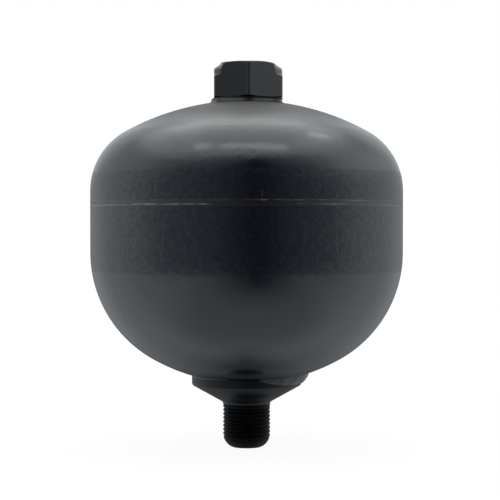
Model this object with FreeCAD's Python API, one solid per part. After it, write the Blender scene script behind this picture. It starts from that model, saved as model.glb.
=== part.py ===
import FreeCAD, Part
import math
import os

# Welded diaphragm accumulator: a steel pressure vessel that holds a gas cushion over a rubber diaphragm.
# Millimetres. +Z is up along the vessel's axis. The origin is on the axis at the top of the port thread,
# the plane that the thread is screwed up to. A person looking at the front looks along +Y.

# Vessel: two deep-drawn halves of one wall thickness, with a short cylinder between dished heads
body_d = 119.5
wall = 5.5
cylinder_length = 23.4
top_crown_r = 95.8
top_knuckle_r = 25.8
bottom_crown_r = 73.1
bottom_knuckle_r = 46.8

# Girth weld, and the counterbores behind it for the retaining ring
seam_below_tangent = 5.1
seam_width = 1.9
counterbore_depth = 1.5
counterbore_below_tangent = 0.5
ledge_above_tangent = 3.0

# Clearances
spigot_clearance = 0.1
thread_clearance = 0.05
seat_gap = 0.05
ring_clearance = 0.1
rubber_gap = 0.3

# Port: threaded stud, cone and flange in one turned piece, on a spigot through the lower head
stud_d = 18.0
stud_straight = 11.1
stud_nose_length = 5.1
stud_nose_r = 5.45
neck_length = 1.06
neck_fillet_r = 1.5
cone_angle = 30.7
flange_d = 42.0
flange_rim = 3.24
flange_edge_r = 0.5
port_spigot_d = 22.0
passage_d = 8.0
passage_chamfer = 0.6

# Weld bead round the flange, laid off centre so that it is full on one side and thin on the other
bead_offset = 1.25
bead_leg = 1.75
bead_foot_inset = 1.15
bead_foot_above_rim = 0.25
bead_bulge = 0.3

# Charging boss: hexagon on a round neck, with a spigot through the upper head
hex_flats = 26.0
hex_height = 12.9
hex_turn = 1.5
hex_top_flat_r = 10.0
hex_top_chamfer_angle = 30.0
hex_crown_r = 13.3
hex_corner_drop = 6.1
hex_foot_rise = 1.4
boss_neck_d = 26.8
boss_neck_height = 2.4
boss_spigot_d = 22.0
boss_weld_leg = 1.5
boss_weld_fillet_r = 1.7
gas_bore_d = 5.0

# Charging screw with a hexagon socket, and the seal under its shoulder
screw_d = 16.0
screw_recess = 0.6
screw_length = 9.6
screw_edge = 0.8
socket_flats = 8.0
socket_depth = 6.0
nose_d = 9.0
nose_clearance = 0.2
seal_section = 1.7
seal_edge_r = 0.5

# Diaphragm: a moulded cup with a wedge bead, and a thick boss in its middle that grips the button
rubber = 2.5
bead_width = 5.2
bead_height = 5.4
bead_slope_angle = 19.0
bead_edge_r = 0.6
heel_inset = 1.6
wall_lean_depth = 19.5
wall_lean_r = 9.0
pad_r = 11.5
pad_flank = 4.5
pad_roof = 3.4
pad_crest_r = 2.0
pad_foot_r = 3.0

# Closing button: a disc that shuts the passage, with a headed stem moulded into the diaphragm
button_d = 24.0
button_thickness = 2.8
button_edge = 1.5
stem_d = 7.0
stem_length = 2.5
stem_head_d = 13.0
stem_head_thickness = 2.0

# Retaining ring: a sleeve behind the girth weld, with a thicker foot that clamps the bead
ring_foot_width = 3.6
ring_foot_height = 5.0
ring_sleeve = 1.3
ring_slope = 2.0
ring_edge_r = 0.5

body_r = body_d / 2
stud_r = stud_d / 2
flange_r = flange_d / 2
port_spigot_r = port_spigot_d / 2
boss_neck_r = boss_neck_d / 2
boss_spigot_r = boss_spigot_d / 2
screw_r = screw_d / 2
button_r = button_d / 2
full_turn = 360.0
axis_foot = FreeCAD.Vector(0, 0, 0)
up = FreeCAD.Vector(0, 0, 1)


def point(r, z):
    return FreeCAD.Vector(r, 0, z)


def line(a, b):
    return Part.LineSegment(a, b).toShape()


def arc(a, middle, b):
    return Part.Arc(a, middle, b).toShape()


# Solid of revolution about the vessel's axis from edges that close a section
def turned(edges):
    section = Part.Wire(Part.sortEdges(edges)[0])
    return Part.makeSolid(Part.Face(section).revolve(axis_foot, up, full_turn))


# The same from corner points only
def turned_corners(*corners):
    closed = list(corners) + [corners[0]]
    return turned([line(a, b) for a, b in zip(closed, closed[1:])])


# Rounds the circular edges of a turned solid that pass through the given points of its section
def rounded(solid, radius, *section_points):
    near = 0.001
    edges = []
    for edge in solid.Edges:
        box = edge.BoundBox
        flat = box.ZLength < near
        for p in section_points:
            if flat and abs(box.XMax - p.x) < near and abs(box.ZMax - p.z) < near:
                edges.append(edge)
    return solid.makeFillet(radius, edges)


# The two arcs of a dished head, a crown and a knuckle that run into each other. side is 1 for the upper head
# and -1 for the lower one. A rise is measured from the tangent plane outwards, a turn is the surface's angle
# from upright at the rim towards level at the apex, and an inset is measured inwards from the outer surface,
# so the inner surface and the diaphragm follow the same arcs.
class DishedHead:
    def __init__(self, crown_r, knuckle_r, side):
        self.crown_r = crown_r
        self.knuckle_r = knuckle_r
        self.side = side
        self.tangent_z = 0.0
        self.knuckle_centre_r = body_r - knuckle_r
        self.crown_centre_depth = math.sqrt((crown_r - knuckle_r) ** 2 - self.knuckle_centre_r ** 2)
        self.join_turn = math.atan2(self.crown_centre_depth, self.knuckle_centre_r)

    def point_at(self, r, rise):
        return point(r, self.tangent_z + self.side * rise)

    def at_turn(self, turn, inset=0.0):
        if turn <= self.join_turn:
            reach = self.knuckle_r - inset
            return self.point_at(self.knuckle_centre_r + reach * math.cos(turn), reach * math.sin(turn))
        reach = self.crown_r - inset
        return self.point_at(reach * math.cos(turn), reach * math.sin(turn) - self.crown_centre_depth)

    # where the head ends and the cylinder starts
    def rim(self, inset=0.0):
        return self.at_turn(0.0, inset)

    # where the knuckle arc runs into the crown arc
    def join(self, inset=0.0):
        return self.at_turn(self.join_turn, inset)

    def rise_at(self, r, inset=0.0):
        if r >= self.join(inset).x:
            return math.sqrt((self.knuckle_r - inset) ** 2 - (r - self.knuckle_centre_r) ** 2)
        return math.sqrt((self.crown_r - inset) ** 2 - r ** 2) - self.crown_centre_depth

    def at_radius(self, r, inset=0.0):
        return self.point_at(r, self.rise_at(r, inset))

    # the turn where the surface has risen by a given height
    def turn_at(self, rise, inset=0.0):
        if rise <= self.rise_at(self.join(inset).x, inset):
            return math.asin(rise / (self.knuckle_r - inset))
        return math.asin((rise + self.crown_centre_depth) / (self.crown_r - inset))

    # edges of a section along the surface, from one of its points out to another
    def edges(self, start, end, inset=0.0):
        join = self.join(inset)
        stops = [start, end]
        if start.x < join.x < end.x:
            stops = [start, join, end]
        return [arc(a, self.at_radius((a.x + b.x) / 2, inset), b) for a, b in zip(stops, stops[1:])]

    # a solid that fills the head out to a given inset, for cutting what seats on it
    def filled(self, inset=0.0):
        apex = self.at_radius(0.0, inset)
        rim = self.rim(inset)
        middle = self.point_at(0.0, 0.0)
        return turned(self.edges(apex, rim, inset) + [line(rim, middle), line(middle, apex)])


# Heights, from the port thread upwards
cone_rise = (flange_r - stud_r) * math.tan(math.radians(cone_angle))
rim_z = neck_length + cone_rise
bottom_head = DishedHead(bottom_crown_r, bottom_knuckle_r, -1)
bottom_tangent_z = rim_z + flange_rim + bottom_head.rise_at(flange_r)
bottom_head.tangent_z = bottom_tangent_z
top_head = DishedHead(top_crown_r, top_knuckle_r, 1)
top_tangent_z = bottom_tangent_z + cylinder_length
top_head.tangent_z = top_tangent_z

seam_z = top_tangent_z - seam_below_tangent
seam_low_z = seam_z - seam_width / 2
seam_high_z = seam_z + seam_width / 2
inner_r = body_r - wall
counterbore_r = inner_r + counterbore_depth
counterbore_top_z = top_tangent_z - counterbore_below_tangent
ledge_z = bottom_tangent_z + ledge_above_tangent

spigot_top_z = bottom_head.at_radius(port_spigot_r, wall).z
button_top_z = spigot_top_z + button_thickness
stem_top_z = button_top_z + stem_length
head_top_z = stem_top_z + stem_head_thickness

boss_seat_z = top_head.at_radius(boss_neck_r).z
hex_foot_z = boss_seat_z + boss_neck_height
hex_top_z = hex_foot_z + hex_height
boss_spigot_end_z = top_head.at_radius(boss_spigot_r, wall).z
hex_corner_r = hex_flats / math.sqrt(3)
screw_top_z = hex_top_z - screw_recess
shoulder_z = screw_top_z - screw_length
seal_seat_z = shoulder_z - seal_section
screw_bore_r = screw_r + thread_clearance


# A hexagonal prism with a corner turned to the front, -Y, and then by the given angle
def hex_prism(flats, turn, low_z, high_z):
    reach = flats / math.sqrt(3)
    corners = []
    for i in range(6):
        angle = math.radians(turn - 90 + 60 * i)
        corners.append(FreeCAD.Vector(reach * math.cos(angle), reach * math.sin(angle), low_z))
    face = Part.Face(Part.makePolygon(corners + [corners[0]]))
    return face.extrude(FreeCAD.Vector(0, 0, high_z - low_z))


def make_gas_shell():
    hole_r = boss_spigot_r + spigot_clearance
    hole_outside = top_head.at_radius(hole_r)
    hole_inside = top_head.at_radius(hole_r, wall)
    outside = top_head.edges(hole_outside, top_head.rim())
    inside = top_head.edges(hole_inside, top_head.rim(wall), wall)
    rim = [
        line(point(body_r, top_tangent_z), point(body_r, seam_high_z)),
        line(point(body_r, seam_high_z), point(counterbore_r, seam_high_z)),
        line(point(counterbore_r, seam_high_z), point(counterbore_r, counterbore_top_z)),
        line(point(counterbore_r, counterbore_top_z), point(inner_r, counterbore_top_z)),
        line(point(inner_r, counterbore_top_z), point(inner_r, top_tangent_z)),
    ]
    return turned(outside + inside + rim + [line(hole_inside, hole_outside)])


def make_fluid_shell():
    hole_r = port_spigot_r + spigot_clearance
    hole_outside = bottom_head.at_radius(hole_r)
    hole_inside = bottom_head.at_radius(hole_r, wall)
    outside = bottom_head.edges(hole_outside, bottom_head.rim())
    inside = bottom_head.edges(hole_inside, bottom_head.rim(wall), wall)
    rim = [
        line(point(body_r, bottom_tangent_z), point(body_r, seam_low_z)),
        line(point(body_r, seam_low_z), point(counterbore_r, seam_low_z)),
        line(point(counterbore_r, seam_low_z), point(counterbore_r, ledge_z)),
        line(point(counterbore_r, ledge_z), point(inner_r, ledge_z)),
        line(point(inner_r, ledge_z), point(inner_r, bottom_tangent_z)),
    ]
    return turned(outside + inside + rim + [line(hole_inside, hole_outside)])


def make_girth_weld():
    return turned_corners(
        point(counterbore_r, seam_low_z),
        point(body_r, seam_low_z),
        point(body_r, seam_high_z),
        point(counterbore_r, seam_high_z),
    )


# The stud's end is rounded by one arc that starts in line with its side
def stud_nose_edges():
    straight_end_z = -stud_straight
    tip_z = straight_end_z - stud_nose_length
    centre_r = stud_r - stud_nose_r
    tip_angle = math.asin(stud_nose_length / stud_nose_r)
    half = tip_angle / 2
    start = point(stud_r, straight_end_z)
    middle = point(centre_r + stud_nose_r * math.cos(half), straight_end_z - stud_nose_r * math.sin(half))
    tip = point(centre_r + stud_nose_r * math.cos(tip_angle), tip_z)
    return [arc(start, middle, tip), line(tip, point(passage_d / 2, tip_z))], tip_z


def make_port_stud():
    nose, tip_z = stud_nose_edges()
    slope = math.radians(cone_angle)
    # the fillet between the straight neck and the cone
    tangent = neck_fillet_r * math.tan((math.pi / 2 - slope) / 2)
    fillet_low = point(stud_r, neck_length - tangent)
    fillet_high = point(stud_r + tangent * math.cos(slope), neck_length + tangent * math.sin(slope))
    centre = point(stud_r + neck_fillet_r, neck_length - tangent)
    turn = math.pi - (math.pi / 2 - slope) / 2
    fillet_middle = centre + point(neck_fillet_r * math.cos(turn), neck_fillet_r * math.sin(turn))
    cone_end = point(flange_r, rim_z)
    seat_outer = bottom_head.at_radius(flange_r, -seat_gap)
    seat_inner = bottom_head.at_radius(port_spigot_r, -seat_gap)
    passage_r = passage_d / 2
    edges = nose + bottom_head.edges(seat_inner, seat_outer, -seat_gap) + [
        line(point(stud_r, -stud_straight), fillet_low),
        arc(fillet_low, fillet_middle, fillet_high),
        line(fillet_high, cone_end),
        line(cone_end, seat_outer),
        line(seat_inner, point(port_spigot_r, spigot_top_z)),
        line(point(port_spigot_r, spigot_top_z), point(passage_r + passage_chamfer, spigot_top_z)),
        line(point(passage_r + passage_chamfer, spigot_top_z), point(passage_r, spigot_top_z - passage_chamfer)),
        line(point(passage_r, spigot_top_z - passage_chamfer), point(passage_r, tip_z)),
    ]
    return rounded(turned(edges), flange_edge_r, cone_end)


# A blank turned about an axis beside the vessel's, less the flange that it runs round and the head above it
def make_port_weld():
    foot = point(flange_r - bead_foot_inset, rim_z + bead_foot_above_rim)
    crest_r = flange_r + bead_leg
    crest = point(crest_r, bottom_head.at_radius(crest_r + bead_offset).z)
    middle = point((foot.x + crest.x) / 2 + bead_bulge, (foot.z + crest.z) / 2 - bead_bulge / 2)
    lid_z = bottom_head.at_radius(crest_r + 2 * bead_offset).z + bead_leg
    blank = turned([
        line(point(0, foot.z), foot),
        arc(foot, middle, crest),
        line(crest, point(crest_r, lid_z)),
        line(point(crest_r, lid_z), point(0, lid_z)),
        line(point(0, lid_z), point(0, foot.z)),
    ])
    blank.translate(FreeCAD.Vector(bead_offset, 0, 0))
    flange = Part.makeCylinder(flange_r + seat_gap, lid_z, axis_foot, up)
    return blank.cut(flange).cut(bottom_head.filled(-seat_gap)).Solids[0]


def make_hex_boss():
    prism = hex_prism(hex_flats, hex_turn, hex_foot_z, hex_top_z)
    crown_drop = (hex_crown_r - hex_top_flat_r) * math.tan(math.radians(hex_top_chamfer_angle))
    corner_reach = hex_corner_r + seat_gap
    limits = turned_corners(
        point(0, hex_foot_z),
        point(boss_neck_r, hex_foot_z),
        point(corner_reach, hex_foot_z + hex_foot_rise),
        point(corner_reach, hex_top_z - hex_corner_drop),
        point(hex_crown_r, hex_top_z - crown_drop),
        point(hex_top_flat_r, hex_top_z),
        point(0, hex_top_z),
    )
    spigot_foot = top_head.at_radius(boss_spigot_r, -seat_gap)
    neck_foot = top_head.at_radius(boss_neck_r, -seat_gap)
    lower = turned(top_head.edges(spigot_foot, neck_foot, -seat_gap) + [
        line(point(0, boss_spigot_end_z), point(boss_spigot_r, boss_spigot_end_z)),
        line(point(boss_spigot_r, boss_spigot_end_z), spigot_foot),
        line(neck_foot, point(boss_neck_r, hex_foot_z)),
        line(point(boss_neck_r, hex_foot_z), point(0, hex_foot_z)),
        line(point(0, hex_foot_z), point(0, boss_spigot_end_z)),
    ])
    mouth_r = screw_bore_r + screw_edge
    bore = turned_corners(
        point(0, boss_spigot_end_z),
        point(gas_bore_d / 2, boss_spigot_end_z),
        point(gas_bore_d / 2, seal_seat_z),
        point(screw_bore_r, seal_seat_z),
        point(screw_bore_r, hex_top_z - screw_edge),
        point(mouth_r, hex_top_z),
        point(0, hex_top_z),
    )
    return prism.common(limits).fuse(lower).removeSplitter().cut(bore).Solids[0]


def make_boss_weld():
    top = point(boss_neck_r + seat_gap, boss_seat_z + boss_weld_leg)
    toe = top_head.at_radius(boss_neck_r + boss_weld_leg, -seat_gap)
    root = top_head.at_radius(boss_neck_r + seat_gap, -seat_gap)
    # the face is hollow: an arc whose middle lies inside the straight line from top to toe
    chord = toe - top
    sag = boss_weld_fillet_r - math.sqrt(boss_weld_fillet_r ** 2 - (chord.Length / 2) ** 2)
    inward = FreeCAD.Vector(chord.z, 0, -chord.x).normalize() * sag
    face = arc(top, (top + toe) / 2 + inward, toe)
    return turned(top_head.edges(root, toe, -seat_gap) + [face, line(root, top)])


def make_charging_screw():
    nose_r = nose_d / 2
    body = turned_corners(
        point(0, seal_seat_z + nose_clearance),
        point(nose_r, seal_seat_z + nose_clearance),
        point(nose_r, shoulder_z),
        point(screw_r - screw_edge, shoulder_z),
        point(screw_r, shoulder_z + screw_edge),
        point(screw_r, screw_top_z - screw_edge),
        point(screw_r - screw_edge, screw_top_z),
        point(0, screw_top_z),
    )
    return body.cut(hex_prism(socket_flats, hex_turn, screw_top_z - socket_depth, screw_top_z)).Solids[0]


def make_charging_seal():
    inner = nose_d / 2 + seat_gap
    corners = [
        point(inner, seal_seat_z),
        point(inner + seal_section, seal_seat_z),
        point(inner + seal_section, shoulder_z),
        point(inner, shoulder_z),
    ]
    return rounded(turned_corners(*corners), seal_edge_r, *corners)


# The button's rim is cut back below, so that it stays clear of the head where that curves up
def make_closing_button():
    return turned_corners(
        point(0, spigot_top_z),
        point(button_r - button_edge, spigot_top_z),
        point(button_r, spigot_top_z + button_edge),
        point(button_r, button_top_z),
        point(stem_d / 2, button_top_z),
        point(stem_d / 2, stem_top_z),
        point(stem_head_d / 2, stem_top_z),
        point(stem_head_d / 2, head_top_z),
        point(0, head_top_z),
    )


# The bead's thick end lies in the counterbore and its upper face slopes down inwards, so a pull on the wall
# draws the wedge tight between the ledge and the retaining ring.
bead_outer_r = counterbore_r - rubber_gap
bead_low_z = ledge_z + rubber_gap


def bead_top_z(r):
    return bead_low_z + bead_height - (bead_outer_r - r) * math.tan(math.radians(bead_slope_angle))


def make_diaphragm():
    outer_inset = wall + rubber_gap
    inner_inset = outer_inset + rubber
    bead_inner_r = bead_outer_r - bead_width
    pocket_r = button_r + rubber_gap
    pocket_z = button_top_z + rubber_gap
    stem_pocket_r = stem_d / 2 + rubber_gap
    head_pocket_r = stem_head_d / 2 + rubber_gap
    head_low_z = stem_top_z - rubber_gap
    head_pocket_z = head_top_z + rubber_gap
    pad_crest = point(pad_r, head_pocket_z + pad_roof)
    pad_foot = bottom_head.at_radius(pad_r + pad_flank, inner_inset)
    pocket_foot = bottom_head.at_radius(pocket_r, outer_inset)
    # the cup leaves the head where the wall starts to lean in towards the bead
    lean_turn = bottom_head.turn_at(wall_lean_depth - ledge_above_tangent, outer_inset)
    outer_lean = bottom_head.at_turn(lean_turn, outer_inset)
    inner_lean = bottom_head.at_turn(lean_turn, inner_inset)
    outside = bottom_head.edges(pocket_foot, outer_lean, outer_inset)
    inside = bottom_head.edges(pad_foot, inner_lean, inner_inset)
    bead_heel = point(inner_r - heel_inset, bead_low_z)
    bead_low = point(bead_outer_r, bead_low_z)
    bead_high = point(bead_outer_r, bead_top_z(bead_outer_r))
    bead_mouth = point(bead_inner_r, bead_top_z(bead_inner_r))
    cup = turned(outside + inside + [
        line(outer_lean, bead_heel),
        line(bead_heel, bead_low),
        line(bead_low, bead_high),
        line(bead_high, bead_mouth),
        line(bead_mouth, inner_lean),
        line(pad_foot, pad_crest),
        line(pad_crest, point(0, pad_crest.z)),
        line(point(0, pad_crest.z), point(0, head_pocket_z)),
        line(point(0, head_pocket_z), point(head_pocket_r, head_pocket_z)),
        line(point(head_pocket_r, head_pocket_z), point(head_pocket_r, head_low_z)),
        line(point(head_pocket_r, head_low_z), point(stem_pocket_r, head_low_z)),
        line(point(stem_pocket_r, head_low_z), point(stem_pocket_r, pocket_z)),
        line(point(stem_pocket_r, pocket_z), point(pocket_r, pocket_z)),
        line(point(pocket_r, pocket_z), pocket_foot),
    ])
    cup = rounded(cup, wall_lean_r, outer_lean, inner_lean)
    cup = rounded(cup, pad_foot_r, pad_foot)
    cup = rounded(cup, pad_crest_r, pad_crest)
    return rounded(cup, bead_edge_r, bead_low, bead_high, bead_mouth)


def make_retaining_ring():
    outer = counterbore_r - ring_clearance
    sleeve_r = outer - ring_sleeve
    foot_r = outer - ring_foot_width
    foot_low = point(foot_r, bead_top_z(foot_r) + rubber_gap)
    foot_high_z = foot_low.z + ring_foot_height
    top_z = counterbore_top_z - ring_clearance
    ring = turned_corners(
        point(outer, bead_top_z(outer) + rubber_gap),
        point(outer, top_z),
        point(sleeve_r, top_z),
        point(sleeve_r, foot_high_z + ring_slope),
        point(foot_r, foot_high_z),
        foot_low,
    )
    return rounded(ring, ring_edge_r, foot_low, point(foot_r, foot_high_z))


parts = {
    "gas_shell": make_gas_shell,
    "fluid_shell": make_fluid_shell,
    "girth_weld": make_girth_weld,
    "hex_boss": make_hex_boss,
    "boss_weld": make_boss_weld,
    "charging_screw": make_charging_screw,
    "charging_seal": make_charging_seal,
    "port_stud": make_port_stud,
    "port_weld": make_port_weld,
    "diaphragm": make_diaphragm,
    "closing_button": make_closing_button,
    "retaining_ring": make_retaining_ring,
}

os.makedirs("parts", exist_ok=True)
for name, make in parts.items():
    shape = make()
    shape.exportStep("parts/" + name + ".step")
    box = shape.BoundBox
    print(name, shape.isValid(), len(shape.Solids), round(shape.Volume), round(box.ZMin, 2), round(box.ZMax, 2))
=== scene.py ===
import bmesh
import bpy
import math
from mathutils import Matrix, Vector, noise


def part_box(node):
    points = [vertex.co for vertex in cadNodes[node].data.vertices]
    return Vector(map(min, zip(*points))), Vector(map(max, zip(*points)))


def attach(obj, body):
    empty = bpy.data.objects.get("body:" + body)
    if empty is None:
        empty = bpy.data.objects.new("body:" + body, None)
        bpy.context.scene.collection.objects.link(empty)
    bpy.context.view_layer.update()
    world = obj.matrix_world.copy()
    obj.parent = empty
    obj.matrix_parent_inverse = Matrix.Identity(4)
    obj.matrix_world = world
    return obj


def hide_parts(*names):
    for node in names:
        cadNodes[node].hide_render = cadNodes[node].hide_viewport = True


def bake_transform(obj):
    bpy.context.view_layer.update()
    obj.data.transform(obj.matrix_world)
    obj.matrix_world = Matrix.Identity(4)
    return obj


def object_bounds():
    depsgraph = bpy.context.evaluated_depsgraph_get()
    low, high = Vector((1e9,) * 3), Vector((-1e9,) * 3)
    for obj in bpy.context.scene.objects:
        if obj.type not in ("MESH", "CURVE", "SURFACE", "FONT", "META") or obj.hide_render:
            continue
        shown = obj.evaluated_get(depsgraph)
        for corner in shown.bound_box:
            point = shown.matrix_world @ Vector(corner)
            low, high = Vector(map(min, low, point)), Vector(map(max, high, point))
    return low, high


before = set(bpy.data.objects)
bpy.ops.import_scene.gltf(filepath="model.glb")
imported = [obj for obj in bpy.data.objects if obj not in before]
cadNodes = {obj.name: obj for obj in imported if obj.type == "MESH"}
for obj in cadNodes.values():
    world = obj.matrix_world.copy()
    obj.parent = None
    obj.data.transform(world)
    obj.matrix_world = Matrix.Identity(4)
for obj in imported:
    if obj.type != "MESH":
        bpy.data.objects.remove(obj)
cadLow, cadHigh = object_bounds()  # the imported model's own box
mm = 0.001
print("frame loaded:", len(cadNodes), "nodes")

mergeWithin = 0.003 * mm
sliverWithin = 0.001 * mm

# The lower dished head: the stud's seat, the bead and the diaphragm all follow its two arcs
lowerHead = {
    "bodyR": 59.75 * mm,
    "crownR": 73.1 * mm,
    "knuckleR": 46.8 * mm,
    "tangentZ": 58.553 * mm,
    "wall": 5.5 * mm,
}


# Small tools for sections, which are lists of (r, z) points beside the vessel's axis
def headPoint(turn, inset=0.0):
    # a point of the lower head, by the surface's turn from upright (0) towards level
    head = lowerHead
    centreR = head["bodyR"] - head["knuckleR"]
    depth = math.sqrt((head["crownR"] - head["knuckleR"]) ** 2 - centreR ** 2)
    if turn <= math.atan2(depth, centreR):
        reach = head["knuckleR"] - inset
        return (centreR + reach * math.cos(turn), head["tangentZ"] - reach * math.sin(turn))
    reach = head["crownR"] - inset
    return (reach * math.cos(turn), head["tangentZ"] + depth - reach * math.sin(turn))


def headArc(fromR, toTurn, inset, stride):
    # points along the lower head from a radius near the middle out to a turn
    reach = lowerHead["crownR"] - inset
    startTurn = math.acos(fromR / reach)
    count = max(2, math.ceil((startTurn - toTurn) * reach / stride))
    return [headPoint(startTurn + (toTurn - startTurn) * k / count, inset) for k in range(count + 1)]


def roundedLine(corners, stepDeg=12):
    # corners are (r, z) or (r, z, radius); a radius turns the corner into an arc
    line = []
    for i, corner in enumerate(corners):
        here = Vector(corner[:2])
        radius = corner[2] if len(corner) > 2 else 0
        if not radius or i in (0, len(corners) - 1):
            line.append(tuple(here))
            continue
        back = (Vector(corners[i - 1][:2]) - here).normalized()
        ahead = (Vector(corners[i + 1][:2]) - here).normalized()
        half = back.angle(ahead) / 2
        centre = here + (back + ahead).normalized() * radius / math.sin(half)
        first = (here + back * radius / math.tan(half) - centre).normalized()
        last = (here + ahead * radius / math.tan(half) - centre).normalized()
        steps = max(2, math.ceil(math.degrees(math.pi - 2 * half) / stepDeg))
        line += [tuple(centre + first.slerp(last, k / steps) * radius) for k in range(steps + 1)]
    return line


def divided(line, stride):
    # no two points further apart than the stride
    out = [line[0]]
    for (r, z), (nextR, nextZ) in zip(line, line[1:]):
        count = max(1, math.ceil(math.dist((r, z), (nextR, nextZ)) / stride))
        out += [(r + (nextR - r) * k / count, z + (nextZ - z) * k / count) for k in range(1, count + 1)]
    return out


def lathe(mesh, line, steps):
    verts = [mesh.verts.new((r, 0, z)) for r, z in line]
    edges = [mesh.edges.new(pair) for pair in zip(verts, verts[1:])]
    bmesh.ops.spin(
        mesh, geom=verts + edges, cent=(0, 0, 0), axis=(0, 0, 1), dvec=(0, 0, 0),
        angle=math.tau, steps=steps, use_merge=True, use_normal_flip=False, use_duplicate=False,
    )


def smoothStep(x, low, high):
    t = min(1, max(0, (x - low) / (high - low)))
    return t * t * (3 - 2 * t)


def softMin(a, b, width):
    h = max(width - abs(a - b), 0) / width
    return min(a, b) - h * h * width / 4


def noiseSum(point, layers):
    # layers are (grains per metre, amount) pairs
    return sum(amount * noise.noise(point * perMetre) for perMetre, amount in layers)


def finishPiece(mesh, name, material, body="vessel", standsFor=(), sharpDeg=34):
    # closes seams and poles, turns the faces outwards, marks crisp edges and puts the piece on its body
    bmesh.ops.remove_doubles(mesh, verts=mesh.verts, dist=mergeWithin)
    bmesh.ops.dissolve_degenerate(mesh, edges=mesh.edges, dist=sliverWithin)
    bmesh.ops.recalc_face_normals(mesh, faces=mesh.faces)
    for edge in mesh.edges:
        edge.smooth = edge.calc_face_angle(0) < math.radians(sharpDeg)
    for face in mesh.faces:
        face.smooth = True
    data = bpy.data.meshes.new(name)
    mesh.to_mesh(data)
    mesh.free()
    data.materials.append(material)
    piece = bpy.data.objects.new(name, data)
    bpy.context.scene.collection.objects.link(piece)
    if body:
        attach(piece, body)
    if standsFor:
        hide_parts(*standsFor)
    print("made", name, len(data.polygons), "faces")
    return piece


# Small tools for materials
def newMaterial(name):
    material = bpy.data.materials.new(name)
    material.use_nodes = True
    return material, material.node_tree, material.node_tree.nodes["Principled BSDF"]


def addNode(tree, kind, inputs=None, **settings):
    node = tree.nodes.new(kind)
    for key, value in settings.items():
        setattr(node, key, value)
    for key, value in (inputs or {}).items():
        if isinstance(value, bpy.types.NodeSocket):
            tree.links.new(value, node.inputs[key])
        else:
            node.inputs[key].default_value = value
    return node


def objectPoint(tree):
    return addNode(tree, "ShaderNodeTexCoord").outputs["Object"]


def splitAxes(tree, point):
    return addNode(tree, "ShaderNodeSeparateXYZ", {"Vector": point}).outputs


def calc(tree, operation, a, b=0.0, c=0.0, clamp=False):
    node = addNode(tree, "ShaderNodeMath", {0: a, 1: b, 2: c}, operation=operation, use_clamp=clamp)
    return node.outputs[0]


def stepUp(tree, value, low, high, fromOut=0.0, toOut=1.0):
    node = addNode(
        tree, "ShaderNodeMapRange",
        {"Value": value, "From Min": low, "From Max": high, "To Min": fromOut, "To Max": toOut},
        interpolation_type="SMOOTHSTEP",
    )
    return node.outputs["Result"]


def spread(tree, value, middle, width):
    # turns a value from 0 to 1 into one of this width about a middle
    return calc(tree, "MULTIPLY_ADD", value, width, middle - width / 2)


def grain(tree, point, perMetre, detail=3.0, rough=0.55):
    inputs = {"Vector": point, "Scale": perMetre, "Detail": detail, "Roughness": rough}
    return addNode(tree, "ShaderNodeTexNoise", inputs).outputs["Fac"]


def lengthOf(tree, vector):
    return addNode(tree, "ShaderNodeVectorMath", {0: vector}, operation="LENGTH").outputs["Value"]


def axisDistance(tree, point):
    flat = addNode(tree, "ShaderNodeMapping", {"Vector": point, "Scale": (1, 1, 0)})
    return lengthOf(tree, flat.outputs["Vector"])


def mixValue(tree, factor, a, b):
    return addNode(tree, "ShaderNodeMix", {0: factor, 2: a, 3: b}).outputs[0]


def blend(tree, factor, a, b):
    node = addNode(tree, "ShaderNodeMix", {"Factor": factor}, data_type="RGBA")
    for socket, value in ((node.inputs[6], a), (node.inputs[7], b)):
        if isinstance(value, bpy.types.NodeSocket):
            tree.links.new(value, socket)
        else:
            socket.default_value = (*value, 1)
    return node.outputs[2]


def bump(tree, height, depth, below=None):
    inputs = {"Height": height, "Distance": depth, "Strength": 1.0}
    if below is not None:
        inputs["Normal"] = below
    return addNode(tree, "ShaderNodeBump", inputs).outputs["Normal"]


def frontPatch(tree, axes, at, half):
    # 1 inside one small soft-edged patch on the front, 0 outside it
    softness = 0.3
    inside = stepUp(tree, axes["Y"], -2 * mm, 0, 1.0, 0.0)
    for axis, middle, reach in zip("XZ", at, half):
        away = calc(tree, "ABSOLUTE", calc(tree, "SUBTRACT", axes[axis], middle))
        edge = stepUp(tree, away, reach * (1 - softness), reach * (1 + softness), 1.0, 0.0)
        inside = calc(tree, "MULTIPLY", inside, edge)
    return inside


# Vessel paint: glossy domes, a duller blasted band round the middle, dull zones round both fittings, a
# painted sheen round the boss and painted shade above the port's bead
vesselPaint = {
    "domeColour": (0.0014, 0.0017, 0.0058),
    "domeGloss": 0.5,
    "domeRoughness": 0.17,
    "patchesPerMetre": 55,
    "patchesWidth": 0.08,
    "dullSheenColour": (0.028, 0.028, 0.027),
    "dullRoughness": 0.46,
    "dullToR": 28 * mm,
    "dullFromR": 48 * mm,
    "dullAboveZ": (90 * mm, 100 * mm),
    "portRoughness": 0.24,
    "portToR": 25 * mm,
    "portFromR": 33 * mm,
    "portBelowZ": (30 * mm, 40 * mm),
    "bandColour": (0.0012, 0.0012, 0.0066),
    "bandGloss": 0.42,
    "bandRoughness": 0.25,
    "bandLowZ": 51.5 * mm,
    "bandHighZ": 88.7 * mm,
    "bandEdge": 0.35 * mm,
    "bandWaver": 0.9 * mm,
    "waverPerMetre": 30,
    "blastPerMetre": 620,
    "blastDepth": 0.10 * mm,
    "blastWidth": 0.16,
    "mottle": (0.88, 1.14),
    "mottleOver": (0.40, 0.62),
    "peelPerMetre": 420,
    "peelDepth": 0.045 * mm,
    "wavePerMetre": 110,
    "waveDepth": 0.13 * mm,
    "shadeAt": (-1.0 * mm, 10.6 * mm),
    "shadeHalf": (6.2 * mm, 1.2 * mm),
    "shadeGloss": 0.05,
    "scratchAt": (5.6 * mm, 80.0 * mm),
    "scratchHalf": (0.16 * mm, 1.35 * mm),
    "scratchColour": (0.016, 0.016, 0.034),
}


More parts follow.
